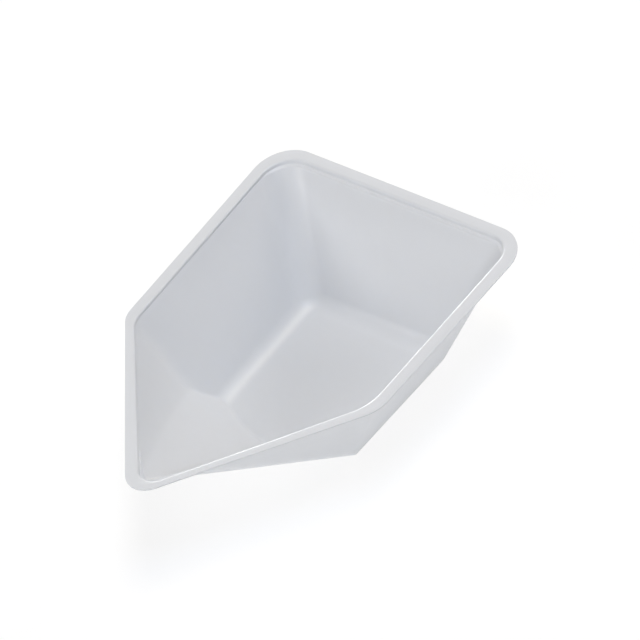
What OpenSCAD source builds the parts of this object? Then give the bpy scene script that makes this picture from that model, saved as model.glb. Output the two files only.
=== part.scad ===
// Weighing boat: one thin formed tray with a home-plate rim and a conical pouring spout.
// Millimetres, +Z up. The origin is under the middle of the tray, on the surface that it
// stands on, and the spout points along -Y.

/* [Rim] */
// Width over the flange at the back edge
back_width = 80; // [68:0.5:110]
// Width over the flange at the shoulders, where the rim starts to taper
shoulder_width = 76.7; // [66:0.5:110]
// Length of the straight sides, from the back edge to the shoulders
side_length = 60.4; // [52:0.2:90]
// Angle between the centre line and each tapered edge of the rim
taper_angle = 40; // [34:1:48]
// Outer radius of the two back corners
back_radius = 10; // [6:0.5:14]
// Outer radius of the two shoulders
shoulder_radius = 6.6; // [6:0.2:12]
// Outer radius of the spout's tip
tip_radius = 6.2; // [6:0.2:9]
// Width of the flat flange, out to the cut edge
flange_width = 3.2; // [2.4:0.1:4]

/* [Step] */
// Height of the small step down inside the flange
step_height = 1.1; // [1:0.1:2]
// Width of the ledge at the foot of the step
ledge_width = 0.7; // [0.6:0.1:1.2]
// Inside radius of the two bends of the step
bend_radius = 0.15; // [0.1:0.05:0.2]

/* [Basin] */
// Depth from the top of the flange to the inside of the floor
basin_depth = 26; // [20:0.5:32]
// Slope of the back wall away from upright
back_draft = 35; // [20:0.2:38]
// Slope of the side walls away from upright
side_draft = 30; // [15:0.2:34]
// Slope of the tapered walls away from upright
taper_draft = 20.4; // [12:0.2:28]
// Inside radius where the floor meets the walls
floor_fillet = 5; // [3:0.2:6]
// Inside radius in plan of the floor's two back corners, beyond the fillet's own
floor_corner_round = 0.8; // [0:0.2:3]

/* [Spout] */
// Fall of the spout's centre line from the tip to the floor
spout_fall = 34.8; // [30:0.2:40]
// Half of the opening angle of the cone that the spout is part of
spout_cone_angle = 45.4; // [40:0.2:50]

/* [Sheet] */
// Thickness of the formed sheet
sheet = 0.35; // [0.25:0.05:0.5]

/* [Hidden] */

// Facets in a full turn of a rounded corner, and in a quarter turn of a bend
facets = 48;
bend_steps = 3;
// Height by which the hollow is cut past its open top
clear_top = 1;

// Plan lengths of the sharp-cornered outline, and of the rim with its tip rounded
taper_length = shoulder_width / 2 / tan(taper_angle);
tip_cut = tip_radius * (1 / sin(taper_angle) - 1);
rim_length = side_length + taper_length - tip_cut;
back_y = rim_length / 2;
shoulder_y = back_y - side_length;
tip_y = shoulder_y - taper_length;

// Heights of the flange, the ledge and the fillet's centre above the table
rim_top = basin_depth + sheet;
ledge_top = rim_top - step_height;
fillet_z = sheet + floor_fillet;
// Inset of the walls' top edge from the cut edge of the flange
wall_inset = flange_width + ledge_width;

// Sharp corners of the rim in plan, anticlockwise from the back left, with their outer radii,
// the radius that the floor's corner has beyond its fillet, and the draft of the wall that
// starts there
corners = [
    [-back_width / 2, back_y],
    [-shoulder_width / 2, shoulder_y],
    [0, tip_y],
    [shoulder_width / 2, shoulder_y],
    [back_width / 2, back_y]
];
radii = [back_radius, shoulder_radius, tip_radius, shoulder_radius, back_radius];
rounds = [floor_corner_round, 0, 0, 0, floor_corner_round];
drafts = [side_draft, taper_draft, taper_draft, side_draft, back_draft];
TIP = 2;

function unit(v) = v / norm(v);
function next(i) = (i + 1) % len(corners);
function prev(i) = (i + len(corners) - 1) % len(corners);
// Inward normal of the edge that starts at corner i
function edge_normal(i) = let (d = unit(corners[next(i)] - corners[i])) [-d.y, d.x];

// Corner i after the edge before it and the edge after it move inwards by a and b
function inset_corner(i, a, b) =
    let (n1 = edge_normal(prev(i)), n2 = edge_normal(i), d = cross(n1, n2),
         c1 = n1 * corners[i] + a, c2 = n2 * corners[i] + b)
    [(c1 * n2.y - c2 * n1.y) / d, (c2 * n1.x - c1 * n2.x) / d];

// Arc of corner i in plan. insets holds how far each edge has moved inwards.
function corner_arc(i, insets) =
    let (a = insets[prev(i)], b = insets[i], r = max(radii[i] - (a + b) / 2, 0.5),
         c = inset_corner(i, a + r, b + r),
         from = -edge_normal(prev(i)), to = -edge_normal(i),
         start = atan2(from.y, from.x), turn = acos(from * to),
         steps = ceil(facets * turn / 360))
    [for (k = [0 : steps]) c + r * [cos(start + turn * k / steps), sin(start + turn * k / steps)]];

function outline(insets) = [for (i = [0 : len(corners) - 1]) each corner_arc(i, insets)];
function even_outline(inset) = outline([for (c = corners) inset]);

// Points of a bend, as [inset, height], from one angle to another
function bend(centre, r, from, to) =
    [for (k = [0 : bend_steps]) centre + r * [cos(from + (to - from) * k / bend_steps),
                                              sin(from + (to - from) * k / bend_steps)]];

// Closed section of the rim: along the top from the cut edge over the step to the ledge,
// and back underneath. Both bends keep the sheet's thickness.
function rim_section() =
    let (outer = bend_radius + sheet,
         top_bend = [flange_width - outer, rim_top - outer],
         foot_bend = [flange_width + bend_radius, ledge_top + bend_radius])
    concat(
        [[0, rim_top]],
        bend(top_bend, outer, 90, 0),
        bend(foot_bend, bend_radius, 180, 270),
        [[wall_inset, ledge_top], [wall_inset, ledge_top - sheet]],
        bend(foot_bend, outer, 270, 180),
        bend(top_bend, bend_radius, 0, 90),
        [[0, rim_top - sheet]]
    );

// Flange, step and ledge: the section carried round the outline
module rim() {
    section = rim_section();
    rings = len(section);
    n = len(even_outline(0));
    points = [for (s = section, p = even_outline(s.x)) [p.x, p.y, s.y]];
    faces = [for (k = [0 : rings - 1], j = [0 : n - 1])
        let (k2 = (k + 1) % rings, j2 = (j + 1) % n)
        [k * n + j, k2 * n + j, k2 * n + j2, k * n + j2]];
    polyhedron(points, faces, convexity = 4);
}

// How far a wall has moved inwards at the centre of the floor's fillet
function fillet_inset(draft, round) =
    wall_inset + (ledge_top - fillet_z) * tan(draft) + floor_fillet / cos(draft) + round;

// The floor's fillet at one corner: a ball, drawn out to a ring where the corner has a round
module fillet_corner(r, round) {
    rotate_extrude($fn = facets)
        intersection() {
            translate([round, 0])
                circle(r, $fn = facets);
            translate([0, -r])
                square([round + r, 2 * r]);
        }
}

// Walls and floor without the spout. skin is 0 for the hollow, and the sheet's thickness for
// the outside of the tray.
module basin_block(skin) {
    top = skin > 0 ? ledge_top : ledge_top + clear_top;
    hull() {
        translate([0, 0, ledge_top - sheet / 10])
            linear_extrude(height = top - ledge_top + sheet / 10)
                polygon(outline([for (d = drafts) wall_inset - skin / cos(d)]));
        for (i = [0 : len(corners) - 1])
            let (c = inset_corner(i, fillet_inset(drafts[prev(i)], rounds[i]),
                                  fillet_inset(drafts[i], rounds[i])))
            translate([c.x, c.y, fillet_z])
                fillet_corner(floor_fillet + skin, rounds[i]);
    }
}

// Cone whose lower side is the spout, with its point in the tip of the rim
module spout_cone(skin) {
    tip = inset_corner(TIP, wall_inset, wall_inset);
    length = 2 * rim_length;
    translate([0, tip.y, rim_top])
        rotate([spout_cone_angle - spout_fall - 90, 0, 0])
            translate([0, 0, -skin / sin(spout_cone_angle)])
                cylinder(h = length, r1 = 0, r2 = length * tan(spout_cone_angle), $fn = 4 * facets);
}

module basin_form(skin) {
    intersection() {
        basin_block(skin);
        spout_cone(skin);
    }
}

module boat() {
    color("whitesmoke") {
        rim();
        difference() {
            basin_form(sheet);
            basin_form(0);
        }
    }
}

boat();
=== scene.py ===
import math

import bmesh
import bpy
import numpy as np
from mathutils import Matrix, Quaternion, Vector


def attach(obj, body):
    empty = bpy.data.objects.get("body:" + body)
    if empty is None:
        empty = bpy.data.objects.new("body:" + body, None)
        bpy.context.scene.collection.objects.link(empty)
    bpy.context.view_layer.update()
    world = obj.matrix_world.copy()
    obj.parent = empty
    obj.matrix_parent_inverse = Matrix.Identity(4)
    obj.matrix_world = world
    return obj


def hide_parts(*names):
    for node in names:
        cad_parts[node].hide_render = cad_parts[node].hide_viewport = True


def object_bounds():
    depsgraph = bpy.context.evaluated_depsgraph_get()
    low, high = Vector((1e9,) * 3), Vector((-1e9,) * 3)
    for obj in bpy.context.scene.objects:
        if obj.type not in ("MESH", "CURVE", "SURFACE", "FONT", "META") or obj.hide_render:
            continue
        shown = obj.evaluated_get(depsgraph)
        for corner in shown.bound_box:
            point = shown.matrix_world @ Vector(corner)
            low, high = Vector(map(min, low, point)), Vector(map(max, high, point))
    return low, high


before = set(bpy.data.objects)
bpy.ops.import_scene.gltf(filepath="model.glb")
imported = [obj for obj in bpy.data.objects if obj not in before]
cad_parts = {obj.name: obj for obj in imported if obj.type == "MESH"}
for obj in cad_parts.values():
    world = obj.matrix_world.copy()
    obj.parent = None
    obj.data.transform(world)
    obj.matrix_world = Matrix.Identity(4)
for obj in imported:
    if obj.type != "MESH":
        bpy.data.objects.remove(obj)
cad_low, cad_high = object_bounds()

# ---------------------------------------------------------------------------------------------
# Formed tray. One sheet of high-impact polystyrene, heated and drawn by vacuum into a mould:
# flat flange, small step, sloping walls, a floor with wide fillets, and a conical spout.
# A die trims it flush with the flange, so the only cut edge is the rim's.
# ---------------------------------------------------------------------------------------------
MM = 0.001

# Plan sizes over the flange, in millimetres. Corners run round from the back's left.
BACK_WIDTH = 80.0
SHOULDER_WIDTH = 77.1
SIDE_LENGTH = 60.1
TAPER_ANGLE = math.radians(40.0)
TIP_RADIUS = 6.1

# Height of the flange's top above the table, which comes from the frame, and the sheet's thickness
RIM_TOP = cad_high.z / MM
SHEET = 0.35

# Each edge in turn: left side, left taper, right taper, right side, back. The step drops from the
# flange. Only the back has a level ledge under it; the others' slopes like their wall.
FLANGE_WIDTHS = [3.05, 3.2, 4.0, 3.86, 2.82]
STEP_HEIGHTS = [0.8, 0.9, 1.1, 1.1, 0.95]
STEP_RUNS = [0.0, 0.0, 0.0, 0.0, 0.44]
LEDGE_WIDTHS = [0.3, 0.3, 0.3, 0.3, 0.82]
LEDGE_DROPS = [0.52, 0.8, 0.8, 0.52, 0.0]
DRAFTS = [math.radians(angle) for angle in (29.4, 19.9, 19.9, 29.4, 35.5)]

# Where the mould's walls start: this far in from the plan's edges, and this far under the rim
WALL_INSET = 3.9
WALL_DEPTH = 1.1
WALL_TOP = RIM_TOP - WALL_DEPTH

# Radii of the small bends in the upper face: flange to step, step to ledge, ledge to wall
OVER_BENDS = [0.5, 0.5, 0.8, 0.7, 0.8]
FOOT_BENDS = [0.4, 0.4, 0.4, 0.4, 0.3]
LIP_BEND = 0.5

# Fillet between the walls and the floor
FLOOR_FILLET = 5.2
FLOOR_CORNER_ROUNDS = [0.8, 0.5, 0.5, 1.5, 0.8]
FILLET_Z = SHEET + FLOOR_FILLET

# Spout: the lower side of a cone whose point lies in the tip of the rim. Its fold is tight
# where it meets the floor and widens towards the tip, and it fades out just under the step.
SPOUT_FALL = math.radians(34.9)
SPOUT_HALF_ANGLE = math.radians(45.9)
FOLD_AT_FLOOR = 0.3
FOLD_AT_RIM = 1.6
FOLD_FADES_OVER = 2.2

# The thin rim gives as it cools and is cut, so neither the die's cut nor the step keeps quite
# true corners. How far each corner is out, and the radius it ends up with.
CUT_SHIFTS = [[0.02, 0.0], [0.25, -0.35], [-0.25, 0.3], [0.8, 1.7], [-0.6, 0.0]]
CUT_RADII = [9.4, 6.1, 6.1, 9.5, 9.2]
STEP_SHIFTS = [[0.0, 0.0], [0.3, -1.9], [1.1, -1.0], [1.1, 0.4], [-0.6, 0.0]]
STEP_RADII = [7.5, 6.0, 4.4, 13.5, 5.8]
FLOOR_SHIFTS = [[-0.15, 0.2], [-0.15, 0.2], [-0.15, 0.2], [0.15, 0.0], [-0.15, 0.2]]

# The cut edge droops by up to this much, in waves: how many go round the rim, share and phase
FLANGE_DROOP = 0.08
DROOP_MEAN = 0.5
DROOP_WAVES = [(3, 0.3, 0.4), (7, 0.2, 2.0)]

# Points along each straight edge and round each corner of the rim, and over each small bend
EDGE_POINTS = 64
CORNER_POINTS = 26
BEND_POINTS = 9

# Points down each meridian's wall, fillet and floor at first, and the rings that are made from
# them. A radian of bend takes as many of the rings as this length of straight sheet.
WALL_POINTS = 300
FILLET_POINTS = 60
FLOOR_POINTS = 400
BOWL_RINGS = 66
BEND_WORTH = 11.0
MERIDIANS_IN_STEP = 3

taper_length = SHOULDER_WIDTH / 2 / math.tan(TAPER_ANGLE)
tip_cut = TIP_RADIUS * (1 / math.sin(TAPER_ANGLE) - 1)
back_y = (SIDE_LENGTH + taper_length - tip_cut) / 2
shoulder_y = back_y - SIDE_LENGTH
corners = np.array([
    [-BACK_WIDTH / 2, back_y],
    [-SHOULDER_WIDTH / 2, shoulder_y],
    [0.0, shoulder_y - taper_length],
    [SHOULDER_WIDTH / 2, shoulder_y],
    [BACK_WIDTH / 2, back_y],
])
TIP = 2


def inward_normal(points, i):
    along = points[(i + 1) % 5] - points[i % 5]
    along = along / np.linalg.norm(along)
    return np.array([-along[1], along[0]])


def inset(points, widths):
    """The five corners once each edge has moved inwards by its width."""
    moved = []
    for i in range(5):
        normals = np.array([inward_normal(points, i - 1), inward_normal(points, i)])
        moved.append(np.linalg.solve(normals, normals @ points[i] + [widths[i - 1], widths[i]]))
    return np.array(moved)


def fill_edges(corner_arcs):
    """Joins the five corners' arcs with points along the straight edges between them."""
    share = np.linspace(0, 1, EDGE_POINTS, endpoint=False)[1:, None]
    filled = []
    for arc, following in zip(corner_arcs, corner_arcs[1:] + corner_arcs[:1]):
        filled += [arc, arc[-1] * (1 - share) + following[0] * share]
    return np.concatenate(filled)


def outline(points, radii):
    """A line round the tray with its corners rounded: a point and the outward direction there
    for each meridian."""
    line, outward = [], []
    for i, radius in enumerate(radii):
        start, end = -inward_normal(points, i - 1), -inward_normal(points, i)
        centre = points[i] - radius * (start + end) / (1 + start @ end)
        first = math.atan2(start[1], start[0])
        angles = first + math.acos(start @ end) * np.linspace(0, 1, CORNER_POINTS)
        directions = np.stack([np.cos(angles), np.sin(angles)], axis=1)
        outward.append(directions)
        line.append(centre + radius * directions)
    outward = fill_edges(outward)
    return fill_edges(line), outward / np.linalg.norm(outward, axis=1, keepdims=True)


def round_the_rim(values):
    """One value for each edge, made into one for each meridian."""
    return fill_edges([
        np.linspace([values[i - 1]], [value], CORNER_POINTS) for i, value in enumerate(values)
    ])[:, 0]


def raised(plan, height):
    """Plan points with a height, which is one number or one for each point."""
    heights = np.broadcast_to(height, plan.shape[:-1])[..., None]
    return np.concatenate([plan, heights], axis=-1)


def straight(start, end, steps):
    share = np.linspace(0, 1, steps)[None, :, None]
    return start[:, None] * (1 - share) + end[:, None] * share


def bend(before, corner, after, radius):
    """Circular arc that rounds off one corner of every meridian."""
    d1, d2 = before - corner, after - corner
    d1 = d1 / np.linalg.norm(d1, axis=1, keepdims=True)
    d2 = d2 / np.linalg.norm(d2, axis=1, keepdims=True)
    half_turn = (math.pi - np.arccos(np.clip((d1 * d2).sum(1), -1, 1))) / 2
    reach = (radius * np.tan(half_turn))[:, None]
    s = np.linspace(0, 1, BEND_POINTS)[None, :, None]
    a, b, c = (1 - s) ** 2, 2 * s * (1 - s) * np.cos(half_turn)[:, None, None], s ** 2
    first, last = (corner + d1 * reach)[:, None], (corner + d2 * reach)[:, None]
    return (a * first + b * corner[:, None] + c * last) / (a + b + c)


def tray_meridians():
    """Upper face of the tray without its spout: two lines of points for each meridian, one over
    the rim from the cut edge and one on down the bowl to the middle of the floor."""
    cut, _ = outline(corners + CUT_SHIFTS, CUT_RADII)
    step_corners = inset(corners, FLANGE_WIDTHS) + STEP_SHIFTS
    step, _ = outline(step_corners, STEP_RADII)
    step_foot, _ = outline(inset(step_corners, STEP_RUNS), STEP_RADII)
    lip_corners = inset(step_corners, np.add(STEP_RUNS, LEDGE_WIDTHS))
    lip_radii = [
        radius - min(LEDGE_WIDTHS[i - 1], LEDGE_WIDTHS[i]) for i, radius in enumerate(STEP_RADII)
    ]
    wall_top, _ = outline(lip_corners, lip_radii)

    # Line that carries the centre of the floor's fillet
    insets = [
        WALL_INSET + (WALL_TOP - FILLET_Z) * math.tan(draft) + FLOOR_FILLET / math.cos(draft)
        for draft in DRAFTS
    ]
    floor_corners = inset(corners, insets) + FLOOR_SHIFTS
    floor, outward = outline(floor_corners, FLOOR_CORNER_ROUNDS)
    turns = np.linspace(0, 2 * math.pi, len(cut), endpoint=False)
    waves = sum(share * np.sin(count * turns + phase) for count, share, phase in DROOP_WAVES)
    droop = FLANGE_DROOP * (DROOP_MEAN + waves)
    foot_top = RIM_TOP - round_the_rim(STEP_HEIGHTS)
    lip_top = foot_top - round_the_rim(LEDGE_DROPS)
    edge = raised(cut, RIM_TOP - droop)
    over = raised(step, RIM_TOP)
    foot = raised(step_foot, foot_top)
    lip = raised(wall_top, lip_top)

    # The wall touches the fillet where both have the same slope
    out = ((wall_top - floor) * outward).sum(1)
    up = lip_top - FILLET_Z
    slope = np.arccos(FLOOR_FILLET / np.hypot(out, up)) - np.arctan2(up, out)
    angles = slope[:, None] + (math.pi / 2 - slope[:, None]) * np.linspace(0, 1, FILLET_POINTS)
    reach = outward[:, None] * (FLOOR_FILLET * np.cos(angles))[..., None]
    fillet = raised(floor[:, None] + reach, FILLET_Z - FLOOR_FILLET * np.sin(angles))

    # The floor's rings close on a line along its middle
    half_floor = np.abs(floor[:, 0] - FLOOR_SHIFTS[TIP][0]).max()
    middle = floor.copy()
    middle[:, 0] = FLOOR_SHIFTS[TIP][0]
    middle[:, 1] = np.clip(floor[:, 1], floor_corners[1, 1], floor_corners[0, 1] - half_floor)

    rim = np.concatenate([
        edge[:, None],
        bend(edge, over, foot, round_the_rim(OVER_BENDS)),
        bend(over, foot, lip, round_the_rim(FOOT_BENDS)),
        bend(foot, lip, fillet[:, 0], LIP_BEND),
    ], axis=1)
    bowl = np.concatenate([
        straight(rim[:, -1], fillet[:, 0], WALL_POINTS),
        fillet[:, 1:],
        straight(fillet[:, -1], raised(middle, SHEET), FLOOR_POINTS)[:, 1:],
    ], axis=1)
    return rim, bowl


def spout_height(x, y):
    """Height of the cone's lower side over a point of the plan, no higher than the step."""
    point_y = inset(corners, [WALL_INSET] * 5)[TIP, 1] + FLOOR_SHIFTS[TIP][1]
    rise = SPOUT_HALF_ANGLE - SPOUT_FALL
    along, up, spread = math.cos(rise), math.sin(rise), math.cos(SPOUT_HALF_ANGLE)
    x, y = x - FLOOR_SHIFTS[TIP][0], np.maximum(y - point_y, 0)
    a = up ** 2 - spread ** 2
    b = 2 * y * along * up
    c = y ** 2 * (along ** 2 - spread ** 2) - (spread * x) ** 2
    z = RIM_TOP + (-b + np.sqrt(np.maximum(b ** 2 - 4 * a * c, 0))) / (2 * a)
    return np.minimum(z, WALL_TOP)


def with_spout(points):
    """Raises the meridians to the cone where that is higher, with a soft fold between."""
    x, y, z = np.moveaxis(points, -1, 0)
    cone = spout_height(x, y)
    fold = FOLD_AT_FLOOR + (FOLD_AT_RIM - FOLD_AT_FLOOR) * (z / RIM_TOP)
    fold = fold * np.clip((WALL_TOP - z) / FOLD_FADES_OVER, 1e-6, 1)
    overlap = np.maximum(fold - np.abs(z - cone), 0)
    lifted = np.maximum(z, cone) + overlap ** 2 / (4 * fold)
    on_rim = z >= WALL_TOP - 1e-6
    return np.stack([x, y, np.where(on_rim, z, lifted)], axis=-1)


def crowd_at_bends(meridians):
    """The same lines with BOWL_RINGS points each, close together where the sheet bends, and in
    step with those of the lines beside them."""
    steps = np.diff(meridians, axis=1)
    lengths = np.maximum(np.linalg.norm(steps, axis=2), 1e-9)
    directions = steps / lengths[..., None]
    turns = np.arccos(np.clip((directions[:, 1:] * directions[:, :-1]).sum(2), -1, 1))
    turns = np.where(np.minimum(lengths[:, 1:], lengths[:, :-1]) > 1e-6, turns, 0)
    travelled = np.pad(np.cumsum(lengths, axis=1), ((0, 0), (1, 0)))
    cost = lengths.copy()
    cost[:, 1:] += BEND_WORTH * turns / 2
    cost[:, :-1] += BEND_WORTH * turns / 2
    spent = np.pad(np.cumsum(cost, axis=1), ((0, 0), (1, 0)))
    share = np.linspace(0, 1, BOWL_RINGS)
    places = np.stack([
        np.interp(share * spend[-1], spend, gone) / gone[-1]
        for spend, gone in zip(spent, travelled)
    ])
    beside = range(-MERIDIANS_IN_STEP, MERIDIANS_IN_STEP + 1)
    places = sum(np.roll(places, j, axis=0) for j in beside) / len(beside)
    return np.stack([
        np.stack([np.interp(place * gone[-1], gone, line[:, k]) for k in range(3)], axis=1)
        for place, gone, line in zip(places, travelled, meridians)
    ])


# Points nearer than this are one, and a fold sharper than this angle shows as an edge
ONE_POINT = 0.002
SHARP_EDGE = math.radians(50)

rim, bowl = tray_meridians()
meridians = np.concatenate([with_spout(rim), crowd_at_bends(with_spout(bowl))[:, 1:]], axis=1)
around = len(meridians)
formed = bmesh.new()
verts = [[formed.verts.new(point * MM) for point in ring] for ring in meridians.swapaxes(0, 1)]
for ring, inner in zip(verts, verts[1:]):
    for j in range(around):
        following = (j + 1) % around
        formed.faces.new((ring[j], ring[following], inner[following], inner[j]))
bmesh.ops.remove_doubles(formed, verts=formed.verts, dist=ONE_POINT * MM)
formed.normal_update()

# The lower face lies one sheet's thickness under the upper one, and the die's cut joins them
under = {v: formed.verts.new(v.co - v.normal * SHEET * MM) for v in list(formed.verts)}
cuts = [loop for edge in formed.edges if edge.is_boundary for loop in edge.link_loops]
for face in list(formed.faces):
    formed.faces.new([under[v] for v in reversed(face.verts)])
for loop in cuts:
    here, there = loop.vert, loop.link_loop_next.vert
    formed.faces.new((there, here, under[here], under[there]))
for face in formed.faces:
    face.smooth = True
tray_mesh = bpy.data.meshes.new("formed_tray")
formed.to_mesh(tray_mesh)
formed.free()
tray_mesh.set_sharp_from_angle(angle=SHARP_EDGE)
tray = bpy.data.objects.new("formed_tray", tray_mesh)
bpy.context.scene.collection.objects.link(tray)


def linear(hex_colour):
    """sRGB hex colour as linear RGBA."""
    values = [int(hex_colour[i:i + 2], 16) / 255 for i in (1, 3, 5)]
    return [v / 12.92 if v <= 0.04045 else ((v + 0.055) / 1.055) ** 2.4 for v in values] + [1.0]


def add_node(tree, kind, inputs=None, **settings):
    """Adds a node with its settings, and sets or links its inputs."""
    made = tree.nodes.new(kind)
    for name, value in settings.items():
        setattr(made, name, value)
    for name, value in (inputs or {}).items():
        if isinstance(value, bpy.types.NodeSocket):
            tree.links.new(value, made.inputs[name])
        else:
            made.inputs[name].default_value = value
    return made


# High-impact polystyrene sheet, cool white, as the mould leaves it: a satin gloss over a milky
# body that lets a little light through. The rubber in it shows as a very fine grain, the mould's
# skin as a shallow orange peel, and the drawing as faint streaks that run down the walls.
POLYSTYRENE = "#dfe2e6"
POLYSTYRENE_CLOUD = "#dcdee2"
POLYSTYRENE_IOR = 1.59
SMOOTHEST, ROUGHEST = 0.38, 0.46
LET_THROUGH = 0.08

# Sizes of the patterns across, in millimetres, and the heights of the two that stand up. The real
# grain is about 0.05 mm, and it is drawn coarser here so that it still shows.
CLOUD_MM = 11.0
PEEL_MM = 1.4
PEEL_HEIGHT = 0.006
GRAIN_MM = 0.22
GRAIN_HEIGHT = 0.0016
STREAK_MM = 2.4
STREAK_SQUEEZE = 0.12
STREAK_SHARE = 0.4

material = bpy.data.materials.new("formed_polystyrene")
material.use_nodes = True
tree = material.node_tree
tree.nodes.clear()
place = add_node(tree, "ShaderNodeTexCoord").outputs["Object"]
cloud, peel, grain = [
    add_node(tree, "ShaderNodeTexNoise", {
        "Vector": place, "Scale": 1 / (size * MM), "Detail": detail,
    }).outputs["Fac"]
    for size, detail in ((CLOUD_MM, 3.0), (PEEL_MM, 2.0), (GRAIN_MM, 1.0))
]
down_the_wall = add_node(tree, "ShaderNodeMapping", {
    "Vector": place, "Scale": (1.0, 1.0, STREAK_SQUEEZE),
})
streaks = add_node(tree, "ShaderNodeTexNoise", {
    "Vector": down_the_wall.outputs[0], "Scale": 1 / (STREAK_MM * MM), "Detail": 2.0,
})
patches = add_node(tree, "ShaderNodeMix", {
    "Factor": STREAK_SHARE, "A": cloud, "B": streaks.outputs["Fac"],
})
colour = add_node(tree, "ShaderNodeMix", {
    "Factor": patches.outputs["Result"], "A": linear(POLYSTYRENE), "B": linear(POLYSTYRENE_CLOUD),
}, data_type="RGBA")
gloss = add_node(tree, "ShaderNodeMapRange", {
    "Value": peel, "From Min": 0.3, "From Max": 0.7, "To Min": SMOOTHEST, "To Max": ROUGHEST,
})
skin = add_node(tree, "ShaderNodeBump", {
    "Height": peel, "Strength": 1.0, "Distance": PEEL_HEIGHT * MM,
})
fine = add_node(tree, "ShaderNodeBump", {
    "Height": grain, "Strength": 1.0, "Distance": GRAIN_HEIGHT * MM,
    "Normal": skin.outputs["Normal"],
})
body = add_node(tree, "ShaderNodeBsdfPrincipled", {
    "Base Color": colour.outputs["Result"], "Roughness": gloss.outputs["Result"],
    "IOR": POLYSTYRENE_IOR, "Normal": fine.outputs["Normal"],
})
milky = add_node(tree, "ShaderNodeBsdfTranslucent", {"Color": linear(POLYSTYRENE)})
mixed = add_node(tree, "ShaderNodeMixShader", {"Fac": LET_THROUGH})
tree.links.new(body.outputs[0], mixed.inputs[1])
tree.links.new(milky.outputs[0], mixed.inputs[2])
add_node(tree, "ShaderNodeOutputMaterial", {"Surface": mixed.outputs[0]})
tray_mesh.materials.append(material)

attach(tray, "root")
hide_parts("boat")

# ---------------------------------------------------------------------------------------------
# Table. A plain white laboratory bench top, matt. It is evenly lit, which a faint glow of its own
# stands for, and it keeps the tray's soft shadow.
# ---------------------------------------------------------------------------------------------
TABLE_SIZE = 4.0
TABLE_WHITE = "#bcbcbc"
TABLE_GLOW = 0.57
WHITE = (1.0, 1.0, 1.0, 1.0)

# Share of plain white in what is seen of the table, over its shaded surface
TABLE_WASH = 0.55

# A hair between the tray's foot and the table, so that the two faces don't lie in one plane
TABLE_GAP = 0.02

bpy.ops.mesh.primitive_plane_add(size=TABLE_SIZE, location=(0, 0, -TABLE_GAP * MM))
table = bpy.context.object
table.name = "table"
bench = bpy.data.materials.new("white_bench")
bench.use_nodes = True
tree = bench.node_tree
tree.nodes.clear()


def rays_that_see(tree):
    """1 for rays of the camera, of reflections and of what is seen through, and 0 for light."""
    path = add_node(tree, "ShaderNodeLightPath").outputs
    seen = add_node(tree, "ShaderNodeMath", {
        0: path["Is Camera Ray"], 1: path["Is Glossy Ray"],
    }, operation="MAXIMUM")
    return add_node(tree, "ShaderNodeMath", {
        0: seen.outputs[0], 1: path["Is Transmission Ray"],
    }, operation="MAXIMUM").outputs[0]


paint = add_node(tree, "ShaderNodeBsdfDiffuse", {"Color": linear(TABLE_WHITE)})
glow = add_node(tree, "ShaderNodeEmission", {"Color": WHITE, "Strength": TABLE_GLOW})
lit = add_node(tree, "ShaderNodeAddShader", {0: paint.outputs[0], 1: glow.outputs[0]})
wash = add_node(tree, "ShaderNodeEmission", {"Color": WHITE, "Strength": 1.0})
share = add_node(tree, "ShaderNodeMath", {
    0: rays_that_see(tree), 1: TABLE_WASH,
}, operation="MULTIPLY")
surface = add_node(tree, "ShaderNodeMixShader", {"Fac": share.outputs[0]})
tree.links.new(lit.outputs[0], surface.inputs[1])
tree.links.new(wash.outputs[0], surface.inputs[2])
add_node(tree, "ShaderNodeOutputMaterial", {"Surface": surface.outputs[0]})
table.data.materials.append(bench)

# ---------------------------------------------------------------------------------------------
# Light. White walls behind, and round soft boxes a little over two metres away: the two overhead
# are slightly cool and slightly warm, and a low strip light skims over the rim from the left.
# ---------------------------------------------------------------------------------------------
world = bpy.data.worlds.new("white_walls")
bpy.context.scene.world = world
world.use_nodes = True
tree = world.node_tree
tree.nodes.clear()
unlit = add_node(tree, "ShaderNodeBackground", {"Color": WHITE, "Strength": 0.0})
walls = add_node(tree, "ShaderNodeBackground", {"Color": WHITE, "Strength": 1.0})
surround = add_node(tree, "ShaderNodeMixShader", {"Fac": rays_that_see(tree)})
tree.links.new(unlit.outputs[0], surround.inputs[1])
tree.links.new(walls.outputs[0], surround.inputs[2])
add_node(tree, "ShaderNodeOutputWorld", {"Surface": surround.outputs[0]})

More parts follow.
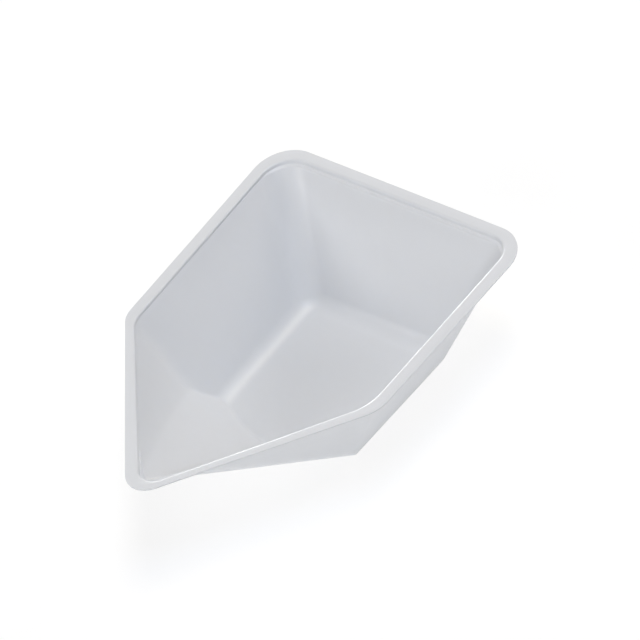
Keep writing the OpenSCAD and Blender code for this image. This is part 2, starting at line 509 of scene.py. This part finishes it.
# Each soft box: azimuth from +X towards +Y, elevation, the light that it gives the tray in watts
# on a square metre, its colour, and its width and height in metres
SOFT_BOXES = {
    "top_right_box": (10.0, 72.0, 1.09, "#d4e4ff", 1.0, 1.0),
    "top_back_box": (75.0, 72.0, 1.26, "#fff2da", 1.0, 1.0),
    "back_box": (66.0, 26.0, 0.74, "#fff8ee", 1.0, 1.0),
    "left_strip": (148.0, 5.0, 2.1, "#ffffff", 1.4, 0.35),
    "left_front_box": (239.0, 28.0, 0.98, "#fffcf8", 1.0, 1.0),
    "front_box": (292.0, 18.0, 0.66, "#fffcf8", 1.0, 1.0),
    "right_box": (10.0, 26.0, 0.12, "#e6eeff", 1.0, 1.0),
}
SOFT_BOX_DISTANCE = 2.4

for name, (azimuth, elevation, light, tint, width, height) in SOFT_BOXES.items():
    azimuth, elevation = math.radians(azimuth), math.radians(elevation)
    towards = Vector((
        math.cos(azimuth) * math.cos(elevation),
        math.sin(azimuth) * math.cos(elevation),
        math.sin(elevation),
    ))
    lamp = bpy.data.lights.new(name, "AREA")
    lamp.shape = "ELLIPSE"
    lamp.size, lamp.size_y = width, height
    lamp.energy = light * math.pi * SOFT_BOX_DISTANCE ** 2
    lamp.color = linear(tint)[:3]
    soft_box = bpy.data.objects.new(name, lamp)
    soft_box.location = towards * SOFT_BOX_DISTANCE
    soft_box.rotation_mode = "QUATERNION"
    soft_box.rotation_quaternion = (-towards).to_track_quat("-Z", "Y")
    soft_box.visible_camera = False
    bpy.context.scene.collection.objects.link(soft_box)

# ---------------------------------------------------------------------------------------------
# Camera. A long lens three metres away, over the tray's right shoulder, and turned about its own
# axis so that the tip points down and to the left.
# ---------------------------------------------------------------------------------------------
CAMERA_AIM = Vector((-5.76, 18.81, 11.44)) * MM
CAMERA_AZIMUTH = math.radians(55.14)
CAMERA_ELEVATION = math.radians(42.88)
CAMERA_TILT = math.radians(-22.47)
CAMERA_DISTANCE = 3.016
CAMERA_LENS = 729.2

back = Vector((
    math.sin(CAMERA_AZIMUTH) * math.cos(CAMERA_ELEVATION),
    -math.cos(CAMERA_AZIMUTH) * math.cos(CAMERA_ELEVATION),
    math.sin(CAMERA_ELEVATION),
))
lens = bpy.data.cameras.new("camera")
lens.lens = CAMERA_LENS
lens.clip_start, lens.clip_end = 0.1, 20.0
camera = bpy.data.objects.new("camera", lens)
camera.location = CAMERA_AIM + back * CAMERA_DISTANCE
camera.rotation_mode = "QUATERNION"
camera.rotation_quaternion = (-back).to_track_quat("-Z", "Y") @ Quaternion((0, 0, 1), CAMERA_TILT)
bpy.context.scene.collection.objects.link(camera)
bpy.context.scene.camera = camera
bpy.context.scene.view_settings.view_transform = "Standard"
